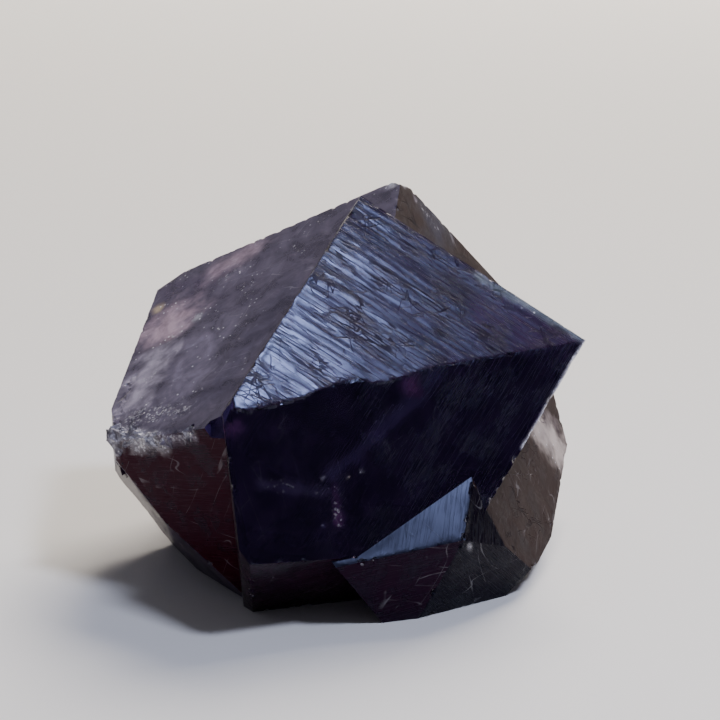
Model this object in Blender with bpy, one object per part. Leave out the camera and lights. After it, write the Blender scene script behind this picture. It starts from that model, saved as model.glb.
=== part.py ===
"""A hand-size fluorite specimen: intergrown cubes, broken flat underneath, rough at the left end and at the back.

Every crystal is a convex block that flat facets leave of a larger one, and all of them are joined into one solid.
Places are given as they are seen from the display side, in millimetres: to the right, up, and towards the viewer,
who looks down by DISPLAY_TILT. The finished stone stands on the floor, with its origin under its middle.
"""

import math
import random

import bmesh
import bpy
from mathutils import Matrix, Vector

# Driving dimensions, in millimetres and degrees
MM = 0.001
DISPLAY_TILT = math.radians(15.0)
FLOOR_LEVEL = -15.8
BLOCK_SIDE = 120.0
SLICE_TOLERANCE = 1e-8

# The main crystal: a cube whose front is two shallow growth facets that meet on a ridge
TOP = Vector((1.05, 19.1, 9.1))
TIP = Vector((22.4, 5.4, 8.0))
BROW = Vector((-11.2, -0.55, 22.6))
HEEL = Vector((12.4, -10.6, 13.9))
JAW = Vector((-9.65, -14.6, 23.5))
JAW_RIGHT = Vector((-1.1, -14.3, 19.95))
JAW_LOW = Vector((-5.5, -18.7, 13.6))
EDGE_RIGHT = Vector((0.841, -0.538, -0.044)).normalized()
EDGE_DOWN = Vector((-0.503, -0.811, 0.300)).normalized()
OUTWARD = EDGE_DOWN.cross(EDGE_RIGHT).normalized()
MAIN_DEPTH = 26.0
BROW_CHIP = 0.6
JAW_CHIP = 0.8
MAIN_HEART = Vector((2.0, -2.0, 2.0))

# The back crystal, larger, turned against the main one, with a corner above it and a flank to its right
CROWN = Vector((4.9, 21.2, 0.0))
CROWN_LEFT = Vector((3.8, 20.8, 0.0))
SHOULDER = Vector((-16.9, 12.7, -9.5))
LEFT_EDGE = Vector((-20.6, -2.8, 10.3))
CROWN_RIGHT = Vector((12.4, 14.0, -11.0))
FLANK_OUT = Vector((0.860, 0.356, 0.365))
CHEEK_OUT = Vector((-0.53, -0.42, 0.74))
CHEEK = Vector((-18.5, -3.7, 13.5))
CROWN_HEART = Vector((-3.0, 0.0, -4.0))
CROWN_OUT = Vector((0.30, 0.95, 0.05))
CROWN_CHIP = 0.35
FLANK_LIFT = 0.3

# How far the back crystal stays under the facets of the crystals in front of it
UNDER_TOP = 1.5
UNDER_FRONT = 3.0
UNDER_FOOT = 0.6
UNDER_KNEE = 0.05

# The foot crystal, low on the right of the main one's front
STEP_TOP = Vector((11.5, -7.1, 13.9))
STEP_LEFT = Vector((-1.2, -15.1, 19.9))
STEP_FRONT = Vector((10.4, -12.9, 16.7))
KNEE = Vector((12.7, -13.4, 14.5))
SOLE = Vector((11.9, -19.4, 13.0))
KNEE_OUT = Vector((0.50, -0.45, 0.62))
FOOT_DEPTH = 14.0
FOOT_HEART = Vector((9.0, -14.0, 4.0))
FOOT_FLANK_CHIP = 0.2

# Broken facets: the way that each faces, a place on it, and how far it is lifted off that place
MAIN_BREAKS = [
    (Vector((-0.99, -0.12, 0.08)), (BROW + JAW) / 2, 0.0),
    (Vector((-0.48, 0.38, 0.79)), BROW, -BROW_CHIP),
    (Vector((-0.75, -0.58, 0.32)), JAW, -JAW_CHIP),
    (Vector((0.50, -0.84, 0.10)), Vector((12.0, -17.0, 10.0)), 0.0),
]
LEFT_END_BREAKS = [
    (Vector((-0.54, 0.80, -0.26)), Vector((-18.3, 11.8, -9.5)), 0.0),
    (Vector((-0.97, 0.20, -0.045)), Vector((-21.4, 4.7, -2.2)), 0.0),
    (Vector((-0.99, -0.08, 0.12)), Vector((-22.4, -2.5, 9.0)), 0.0),
    (Vector((-0.77, -0.61, 0.16)), Vector((-20.5, -9.2, 4.5)), 0.0),
    (Vector((-0.67, -0.70, 0.25)), Vector((-14.4, -13.0, 11.2)), 0.8),
]
BACK_BREAKS = [
    (Vector((-0.55, -0.25, -0.80)), Vector((-16.0, -2.0, -10.5)), 0.0),
    (Vector((-0.10, 0.16, -0.98)), Vector((2.0, 2.0, -16.8)), 0.0),
    (Vector((0.40, 0.12, -0.91)), Vector((19.0, -1.5, -19.0)), 0.0),
    (Vector((0.95, 0.10, -0.27)), Vector((22.7, -5.4, -15.7)), 0.0),
    (Vector((0.90, -0.40, -0.05)), Vector((20.0, -13.3, -1.5)), 0.0),
    (Vector((0.70, -0.70, -0.02)), Vector((16.6, -17.4, 10.0)), 0.0),
    (Vector((0.10, -0.35, -0.93)), Vector((4.0, -12.0, -15.0)), 0.0),
]
FOOT_BREAKS = [
    (Vector((0.90, -0.40, -0.05)), Vector((19.6, -13.3, -1.5)), 0.0),
    (Vector((0.70, -0.70, -0.02)), Vector((16.3, -17.2, 10.0)), 0.0),
    (Vector((-0.78, -0.62, 0.02)), STEP_LEFT, 0.0),
    (Vector((0.10, 1.00, 0.00)), STEP_TOP, 0.0),
]

# Small cubes, in step with the back crystal, that stand out of its hidden walls: place, edge length, small turn
BUDS = [
    (Vector((-3.0, 9.6, -13.0)), 6.0, 3.0),
    (Vector((8.0, 3.5, -17.0)), 9.0, -4.0),
    (Vector((-7.5, -4.5, -14.5)), 10.0, 5.0),
    (Vector((9.5, -11.0, -13.5)), 7.0, 8.0),
    (Vector((-13.5, 2.5, -12.0)), 5.0, -7.0),
]
BUD_UP = Vector((0.063, 0.635, -0.770))

# The bruised edge at the left end, covered with crumbs
BRUISE_START = Vector((-21.6, -3.5, 10.4))
BRUISE_END = Vector((-15.9, -4.2, 15.2))
END_LOW = Vector((-21.0, -7.4, 8.6))
CRUMB_COUNT = 30
CRUMB_SIZES = (0.7, 1.7)
CRUMB_POINTS = 9
CRUMBS_TO_ONE_LOW = 3
CRUMB_TAPER = 0.5
SEED = 7

# Dents where crystal has broken away: place and radius. One is in the left outline, two are at the brow
DENTS = [
    (Vector((-23.3, 1.5, 4.0)), 2.1),
    (Vector((-12.6, -2.6, 19.0)), 2.1),
    (Vector((-15.0, -3.0, 16.8)), 1.3),
    (Vector((-22.3, -6.9, 8.0)), 1.0),
]
DENT_SEED = 12

# The stone's plain colour and finish
COLOUR = (0.020, 0.012, 0.034, 1.0)
ROUGHNESS = 0.18
REFRACTION = 1.434


def to_frame(place):
    """A place or direction seen from the display side, in the stone's own frame, still in millimetres."""
    right, up, near = place
    sine, cosine = math.sin(DISPLAY_TILT), math.cos(DISPLAY_TILT)
    return Vector((right, up * sine - near * cosine, up * cosine + near * sine))


def facet(heart, first, second, third, lift=0.0):
    """The flat facet through three places, facing away from the crystal's heart and lifted out by some millimetres."""
    normal = (second - first).cross(third - first).normalized()
    if normal.dot(heart - first) > 0:
        normal.negate()
    return first + normal * lift, normal


def facing(direction, place, lift=0.0):
    """The flat facet that faces a direction and runs through a place, lifted out by some millimetres."""
    normal = direction.normalized()
    return place + normal * lift, normal


def floor_facet():
    """The flat broken base, level with the floor."""
    down = Vector((0.0, -math.cos(DISPLAY_TILT), -math.sin(DISPLAY_TILT)))
    return -down * FLOOR_LEVEL, down


def cut_block(facets):
    """A convex block as a bmesh in metres, in the stone's own frame: what all the facets leave of a large cube."""
    shape = bmesh.new()
    bmesh.ops.create_cube(shape, size=BLOCK_SIDE * MM)
    for place, normal in facets:
        cut = bmesh.ops.bisect_plane(
            shape,
            geom=shape.verts[:] + shape.edges[:] + shape.faces[:],
            dist=SLICE_TOLERANCE,
            plane_co=to_frame(place) * MM,
            plane_no=to_frame(normal),
            clear_outer=True,
        )
        rim = [part for part in cut["geom_cut"] if isinstance(part, bmesh.types.BMEdge)]
        if rim:
            bmesh.ops.contextual_create(shape, geom=rim)
    bmesh.ops.recalc_face_normals(shape, faces=shape.faces)
    return shape


def add_object(name, shape, datum):
    """An object that holds a bmesh and hangs on the datum."""
    mesh = bpy.data.meshes.new(name)
    shape.to_mesh(mesh)
    shape.free()
    made = bpy.data.objects.new(name, mesh)
    made.parent = datum
    bpy.context.scene.collection.objects.link(made)
    return made


def fuse(stone, name, shape, operation="UNION"):
    """Joins a block to the stone, or cuts it out, with a Boolean. The block itself is only a helper."""
    helper = add_object(name, shape, stone.parent)
    helper.hide_render = True
    helper.display_type = "WIRE"
    boolean = stone.modifiers.new(name, "BOOLEAN")
    boolean.operation = operation
    boolean.solver = "EXACT"
    boolean.object = helper


def main_facets():
    """The facets of the main crystal."""
    return [
        facet(MAIN_HEART, TOP, TIP, BROW),
        facet(MAIN_HEART, BROW, TIP, HEEL),
        facing(-EDGE_RIGHT, TOP),
        facing(EDGE_RIGHT, TIP),
        facing(-EDGE_DOWN, TOP),
        facing(-OUTWARD, TOP - OUTWARD * MAIN_DEPTH),
        facet(MAIN_HEART, JAW, JAW_RIGHT, JAW_LOW),
        *(facing(*broken) for broken in MAIN_BREAKS),
        floor_facet(),
    ]


def crown_facets():
    """The facets of the back crystal, with its breaks, kept under the crystals in front of it."""
    return [
        facet(CROWN_HEART, CROWN_LEFT, SHOULDER, LEFT_EDGE),
        facing(FLANK_OUT, CROWN, FLANK_LIFT),
        facet(CROWN_HEART, CROWN, CROWN_RIGHT, SHOULDER),
        facing(CHEEK_OUT, CHEEK),
        facing(CROWN_OUT, CROWN, -CROWN_CHIP),
        *(facing(*broken) for broken in LEFT_END_BREAKS + BACK_BREAKS),
        facet(CROWN_HEART, TOP, TIP, BROW, -UNDER_TOP),
        facet(CROWN_HEART, BROW, TIP, HEEL, -UNDER_FRONT),
        facet(CROWN_HEART, JAW, JAW_RIGHT, JAW_LOW, -UNDER_FOOT),
        facet(CROWN_HEART, STEP_LEFT, STEP_FRONT, SOLE, -UNDER_FOOT),
        facing(KNEE_OUT, KNEE, -UNDER_KNEE),
        floor_facet(),
    ]


def foot_facets():
    """The facets of the foot crystal."""
    return [
        facet(FOOT_HEART, STEP_TOP, STEP_LEFT, STEP_FRONT),
        facet(FOOT_HEART, STEP_LEFT, STEP_FRONT, SOLE),
        facet(FOOT_HEART, STEP_TOP, STEP_FRONT, KNEE),
        facing(KNEE_OUT, KNEE),
        facing(FLANK_OUT, STEP_TOP, -FOOT_FLANK_CHIP),
        facing(-OUTWARD, STEP_TOP - OUTWARD * FOOT_DEPTH),
        *(facing(*broken) for broken in FOOT_BREAKS),
        floor_facet(),
    ]


def bud(place, side, turn):
    """A small cube in the lattice of the back crystal, turned a little about its flank's direction."""
    shape = bmesh.new()
    bmesh.ops.create_cube(shape, size=side * MM)
    outward = to_frame(FLANK_OUT).normalized()
    upward = to_frame(BUD_UP).cross(outward).cross(-outward).normalized()
    lattice = Matrix((upward, outward.cross(upward), outward)).transposed()
    turned = Matrix.Rotation(math.radians(turn), 4, outward) @ lattice.to_4x4()
    bmesh.ops.transform(shape, matrix=Matrix.Translation(to_frame(place) * MM) @ turned, verts=shape.verts)
    return shape


def crumb(chance, place, size):
    """A small lump with flat sides: the hull of some places scattered around one."""
    shape = bmesh.new()
    for _ in range(CRUMB_POINTS):
        away = Vector((chance.gauss(0, 1), chance.gauss(0, 1), chance.gauss(0, 1))).normalized()
        shape.verts.new((to_frame(place) + away * size) * MM)
    hull = bmesh.ops.convex_hull(shape, input=shape.verts)
    bmesh.ops.delete(shape, geom=hull["geom_unused"] + hull["geom_interior"], context="VERTS")
    bmesh.ops.recalc_face_normals(shape, faces=shape.faces)
    return shape


def add_crumbs(stone):
    """Covers the bruised edge and the broken left end with crumbs."""
    chance = random.Random(SEED)
    for number in range(CRUMB_COUNT):
        along = chance.random()
        if number % CRUMBS_TO_ONE_LOW:
            place = BRUISE_START.lerp(BRUISE_END, along * along)
        else:
            place = BRUISE_START.lerp(END_LOW, along)
        size = chance.uniform(*CRUMB_SIZES) * (1.0 - CRUMB_TAPER * along)
        fuse(stone, f"crumb_{number}", crumb(chance, place, size))


def add_dents(stone):
    """Cuts the dents out of the stone."""
    chance = random.Random(DENT_SEED)
    for number, (place, size) in enumerate(DENTS):
        fuse(stone, f"dent_{number}", crumb(chance, place, size), "DIFFERENCE")


def add_finish(stone):
    """Gives the stone its colour: deep violet, nearly black, and glossy."""
    finish = bpy.data.materials.new("fluorite")
    finish.use_nodes = True
    principled = finish.node_tree.nodes["Principled BSDF"]
    principled.inputs["Base Color"].default_value = COLOUR
    principled.inputs["Roughness"].default_value = ROUGHNESS
    principled.inputs["IOR"].default_value = REFRACTION
    stone.data.materials.append(finish)


def stand_on_floor(stone):
    """Moves the datum, so that the stone's origin lies under its middle, on the floor."""
    bpy.context.view_layer.update()
    shaped = stone.evaluated_get(bpy.context.evaluated_depsgraph_get())
    corners = [stone.matrix_world @ Vector(corner) for corner in shaped.bound_box]
    low = [min(corner[axis] for corner in corners) for axis in range(3)]
    high = [max(corner[axis] for corner in corners) for axis in range(3)]
    stone.parent.location = (-(low[0] + high[0]) / 2, -(low[1] + high[1]) / 2, -low[2])


def build_stone():
    """The whole specimen as one solid."""
    datum = bpy.data.objects.new("datum", None)
    bpy.context.scene.collection.objects.link(datum)
    stone = add_object("fluorite", cut_block(main_facets()), datum)
    fuse(stone, "crown_crystal", cut_block(crown_facets()))
    fuse(stone, "foot_crystal", cut_block(foot_facets()))
    for number, (place, side, turn) in enumerate(BUDS):
        fuse(stone, f"bud_{number}", bud(place, side, turn))
    add_dents(stone)
    add_crumbs(stone)
    fuse(stone, "below_floor", below_floor(), "DIFFERENCE")
    return stone


def below_floor():
    """Everything under the flat base, which is cut away last."""
    shape = bmesh.new()
    bmesh.ops.create_cube(shape, size=BLOCK_SIDE * MM)
    lowered = Matrix.Translation((0.0, 0.0, (FLOOR_LEVEL - BLOCK_SIDE / 2) * MM))
    bmesh.ops.transform(shape, matrix=lowered, verts=shape.verts)
    return shape


def clear_scene():
    """Removes every object that the scene starts with."""
    for old in list(bpy.data.objects):
        bpy.data.objects.remove(old)


def main():
    """Builds the specimen, colours it and stands it on the floor."""
    clear_scene()
    stone = build_stone()
    add_finish(stone)
    stand_on_floor(stone)


main()
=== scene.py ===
"""Dresses a hand-size fluorite specimen: dark violet crystal with growth lines, worn edges and clouds.

Places on the stone are given as they are seen from the display side, in millimetres: to the right, up, and
towards the viewer, who looks down on the stone. The stone's own frame is in metres, with +Z up.
"""

import logging
import math
from dataclasses import dataclass, field
from enum import Enum

import bmesh
import bpy
import numpy as np
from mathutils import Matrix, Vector, geometry, kdtree, noise

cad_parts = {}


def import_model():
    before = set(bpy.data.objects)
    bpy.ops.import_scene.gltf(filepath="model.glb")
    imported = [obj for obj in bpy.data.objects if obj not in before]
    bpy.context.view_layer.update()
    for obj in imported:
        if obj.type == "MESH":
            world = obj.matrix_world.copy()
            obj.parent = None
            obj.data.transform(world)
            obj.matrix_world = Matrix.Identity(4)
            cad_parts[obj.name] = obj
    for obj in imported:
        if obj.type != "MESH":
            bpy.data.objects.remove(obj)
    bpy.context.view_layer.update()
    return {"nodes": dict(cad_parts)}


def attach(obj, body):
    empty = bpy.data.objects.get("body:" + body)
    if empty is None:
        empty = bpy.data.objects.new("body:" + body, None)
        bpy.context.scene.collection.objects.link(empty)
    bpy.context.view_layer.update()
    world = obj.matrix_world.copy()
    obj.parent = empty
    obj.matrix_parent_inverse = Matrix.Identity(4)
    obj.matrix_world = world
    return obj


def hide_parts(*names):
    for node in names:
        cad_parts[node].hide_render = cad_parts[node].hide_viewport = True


LOG = logging.getLogger("fluorite_specimen")
MM = 0.001
TINY = 1e-9
NODE = "fluorite"

# What a node's input can be linked to: an output, or a node, which stands for its first output
Signal = bpy.types.Node | bpy.types.NodeSocket
Tree = bpy.types.NodeTree
TIMES, TIMES_PLUS, LARGER = ({"operation": name} for name in ("MULTIPLY", "MULTIPLY_ADD", "MAXIMUM"))
SMOOTH = {"interpolation_type": "SMOOTHSTEP"}


def linear(hex_colour: str) -> tuple[float, float, float]:
    """Turns an sRGB hex colour to linear.

    Args:
        hex_colour: six hex digits, such as "8a7f9c".

    Returns:
        The linear red, green and blue.
    """
    values = [int(hex_colour[at : at + 2], 16) / 255 for at in (0, 2, 4)]
    return tuple(v / 12.92 if v <= 0.04045 else ((v + 0.055) / 1.055) ** 2.4 for v in values)


def add_node(tree: Tree, kind: str, settings: dict | None = None, **inputs) -> bpy.types.Node:
    """Adds a node with its settings, and sets or links its inputs.

    Args:
        tree: the node tree that it goes in.
        kind: the node's type, without the leading "ShaderNode".
        settings: the node's own properties by name.
        **inputs: an input's name, with _ for a space, or its number after "at", and its value or what to
            link to it.

    Returns:
        The node.
    """
    node = tree.nodes.new("ShaderNode" + kind)
    for name, value in (settings or {}).items():
        setattr(node, name, value)
    for name, value in inputs.items():
        numbered = name.startswith("at") and name[2:].isdigit()
        socket = node.inputs[int(name[2:]) if numbered else name.replace("_", " ")]
        if isinstance(value, Signal):
            tree.links.new(value.outputs[0] if isinstance(value, bpy.types.Node) else value, socket)
        else:
            socket.default_value = value
    return node


def ramp(value: float, low: float, high: float) -> float:
    """Rises smoothly from 0 at low to 1 at high.

    Args:
        value: the number to grade.
        low: where it starts to rise, or to fall if low is over high.
        high: where it is full.

    Returns:
        A number from 0 to 1.
    """
    share = min(1.0, max(0.0, (value - low) / (high - low)))
    return share * share * (3 - 2 * share)


def ripple(along: float, across: float, seed: float) -> float:
    """Smooth noise from -1 to 1 at a place on a facet."""
    return noise.noise(Vector((along, across, seed)))


def swell(place: Vector, rate: float, seed: float = 0.0) -> float:
    """Smooth noise from -1 to 1 at a place in the stone, where rate is how fast it changes."""
    return ripple(place.x * rate, place.y * rate, place.z * rate + seed)


@dataclass(frozen=True)
class DisplayFrame:
    """The way that the stone is looked at, and where that view's middle lies in the stone's own frame."""

    tilt: float = math.radians(15.0)
    datum: Vector = field(default_factory=lambda: Vector((0.45, 1.15, 15.83)))

    def turned(self, direction: Vector) -> Vector:
        """A direction seen from the display side, in the stone's frame."""
        right, up, near = direction
        sine, cosine = math.sin(self.tilt), math.cos(self.tilt)
        return Vector((right, up * sine - near * cosine, up * cosine + near * sine))

    def placed(self, place: Vector) -> Vector:
        """A place seen from the display side, in millimetres, in the stone's frame, in metres."""
        return (self.turned(place) + self.datum) * MM

    def seen(self, place: Vector) -> Vector:
        """A place in the stone's frame, in metres, as seen from the display side, in millimetres."""
        x, y, z = place / MM - self.datum
        sine, cosine = math.sin(self.tilt), math.cos(self.tilt)
        return Vector((x, y * sine + z * cosine, z * sine - y * cosine))

    def mirrored(self, place: Vector, outward: Vector, eye: Vector) -> Vector:
        """The way to what a facet mirrors to the eye, all as seen from the display side.

        Args:
            place: where on the facet.
            outward: the way that the facet faces.
            eye: where the eye is.

        Returns:
            The direction from the place, of length 1.
        """
        to_eye, facing = (eye - place).normalized(), outward.normalized()
        return (2 * facing.dot(to_eye) * facing - to_eye).normalized()


class Facet(Enum):
    """What a facet of the stone is, by how it grew or broke."""

    SATIN = "satin growth face"
    STEP = "small satin face"
    BROW = "dark growth face"
    SMOKY = "smoky face"
    CHEEK = "plum face"
    FLANK = "etched face"
    WALL = "side wall"
    KNEE = "streaked face"
    BREAK = "broken face"
    CRUMB = "bruised crumb"
    DENT = "small fresh break"


@dataclass(frozen=True)
class FacetLook:
    """How one kind of facet looks, and how finely its mesh is made.

    Lengths are in millimetres. Body is the share of the light that the cloudy crystal under the surface
    scatters; on some facets the tint and body are also set to paint reflected light or shade. Striae and
    cracks say how strongly the growth lines and the etched twigs show.
    """

    tint: str
    body: float
    roughness: float
    striae: float
    cracks: float
    step_along: float
    step_across: float
    ledge: float
    wave: float


# Tints and bodies are partly each facet's own colour and haze and partly painted light: the smoky face's pale
# grey and the etched face's warm brown are partly painted reflections, the plum face's maroon is partly a
# painted warm reflection, and the streaked face and side wall are darkened towards black as painted shade.
LOOKS = {
    Facet.SATIN: FacetLook("5e3668", 0.13, 0.18, 1.00, 1.00, 0.24, 0.13, 0.014, 0.006),
    Facet.STEP: FacetLook("38345a", 0.10, 0.30, 0.15, 0.00, 0.26, 0.16, 0.015, 0.008),
    Facet.BROW: FacetLook("46305e", 0.09, 0.16, 0.50, 0.05, 0.32, 0.18, 0.020, 0.008),
    Facet.SMOKY: FacetLook("726a7a", 0.62, 0.13, 0.05, 0.08, 0.36, 0.36, 0.010, 0.015),
    Facet.CHEEK: FacetLook("310413", 0.95, 0.26, 0.08, 0.00, 0.34, 0.24, 0.020, 0.020),
    Facet.FLANK: FacetLook("2a1c19", 1.00, 0.58, 0.30, 1.00, 0.32, 0.28, 0.020, 0.035),
    Facet.WALL: FacetLook("1f081b", 0.90, 0.18, 0.40, 0.10, 0.42, 0.34, 0.030, 0.020),
    Facet.KNEE: FacetLook("100a15", 0.95, 0.26, 0.90, 0.15, 0.26, 0.15, 0.050, 0.020),
    Facet.BREAK: FacetLook("54405c", 0.28, 0.32, 0.10, 0.20, 0.42, 0.42, 0.040, 0.140),
    Facet.DENT: FacetLook("54417a", 0.40, 0.12, 0.10, 0.00, 0.26, 0.26, 0.010, 0.040),
    Facet.CRUMB: FacetLook("6c6576", 0.45, 0.30, 0.00, 0.00, 0.22, 0.22, 0.000, 0.060),
}


@dataclass(frozen=True)
class FacetRule:
    """Names a facet by the way that it faces, with the way that its growth lines run.

    Both are as seen from the display side.
    """

    kind: Facet
    outward: tuple[float, float, float]
    grain: tuple[float, float, float] = (0.0, 1.0, 0.0)


RULES = (
    FacetRule(Facet.SATIN, (0.303, 0.404, 0.863), (0.841, -0.538, -0.044)),
    FacetRule(Facet.STEP, (0.172, 0.402, 0.900), (-0.15, -0.92, 0.37)),
    FacetRule(Facet.BROW, (0.381, 0.100, 0.919), (-0.503, -0.811, 0.300)),
    FacetRule(Facet.SMOKY, (-0.502, 0.721, 0.479), (-0.857, -0.362, -0.368)),
    FacetRule(Facet.CHEEK, (-0.53, -0.42, 0.74), (-0.80, 0.0, -0.60)),
    FacetRule(Facet.FLANK, (0.860, 0.356, 0.365), (-0.063, -0.635, 0.770)),
    FacetRule(Facet.KNEE, (0.70, 0.20, 0.685), (-0.20, -0.95, 0.20)),
    FacetRule(Facet.KNEE, (0.50, -0.45, 0.62), (0.38, -0.35, -0.56)),
    FacetRule(Facet.WALL, (0.321, -0.412, 0.853), (0.95, 0.20, -0.25)),
    FacetRule(Facet.BREAK, (-0.54, 0.80, -0.26)),
    FacetRule(Facet.BREAK, (-0.97, 0.20, -0.045)),
    FacetRule(Facet.BREAK, (-0.99, -0.08, 0.12)),
    FacetRule(Facet.BREAK, (-0.77, -0.61, 0.16)),
    FacetRule(Facet.BREAK, (-0.67, -0.70, 0.25)),
    FacetRule(Facet.BREAK, (-0.55, -0.25, -0.80)),
    FacetRule(Facet.BREAK, (-0.10, 0.16, -0.98)),
    FacetRule(Facet.BREAK, (0.40, 0.12, -0.91)),
    FacetRule(Facet.BREAK, (0.95, 0.10, -0.27)),
    FacetRule(Facet.BREAK, (0.90, -0.40, -0.05)),
    FacetRule(Facet.BREAK, (0.70, -0.70, -0.02)),
    FacetRule(Facet.BREAK, (0.10, -0.35, -0.93)),
    FacetRule(Facet.BREAK, (0.0, -0.966, -0.259), (1.0, 0.0, 0.0)),
)
WALL_GRAIN = (-0.503, -0.811, 0.300)


@dataclass(frozen=True)
class BlemishAndPaintedLight:
    """A soft patch of cloud or frost, or a streak of it where it has an end.

    Places are as seen from the display side, and the reach is in millimetres. Some patches are painted light:
    painted glints, painted highlights and painted shade.
    """

    place: tuple[float, float, float]
    reach: float
    strength: float
    colour: str
    frost: float = 0.0
    bruise: float = 0.0
    end: tuple[float, float, float] | None = None

    def away(self, seen: np.ndarray) -> np.ndarray:
        """How far places are from its middle line, in units of its reach."""
        start = np.array(self.place)
        run = np.array(self.end or self.place) - start
        share = np.clip((seen - start) @ run / max(float(run @ run), TINY), 0, 1)
        return np.linalg.norm(seen - start - share[..., None] * run, axis=-1) / self.reach


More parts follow.
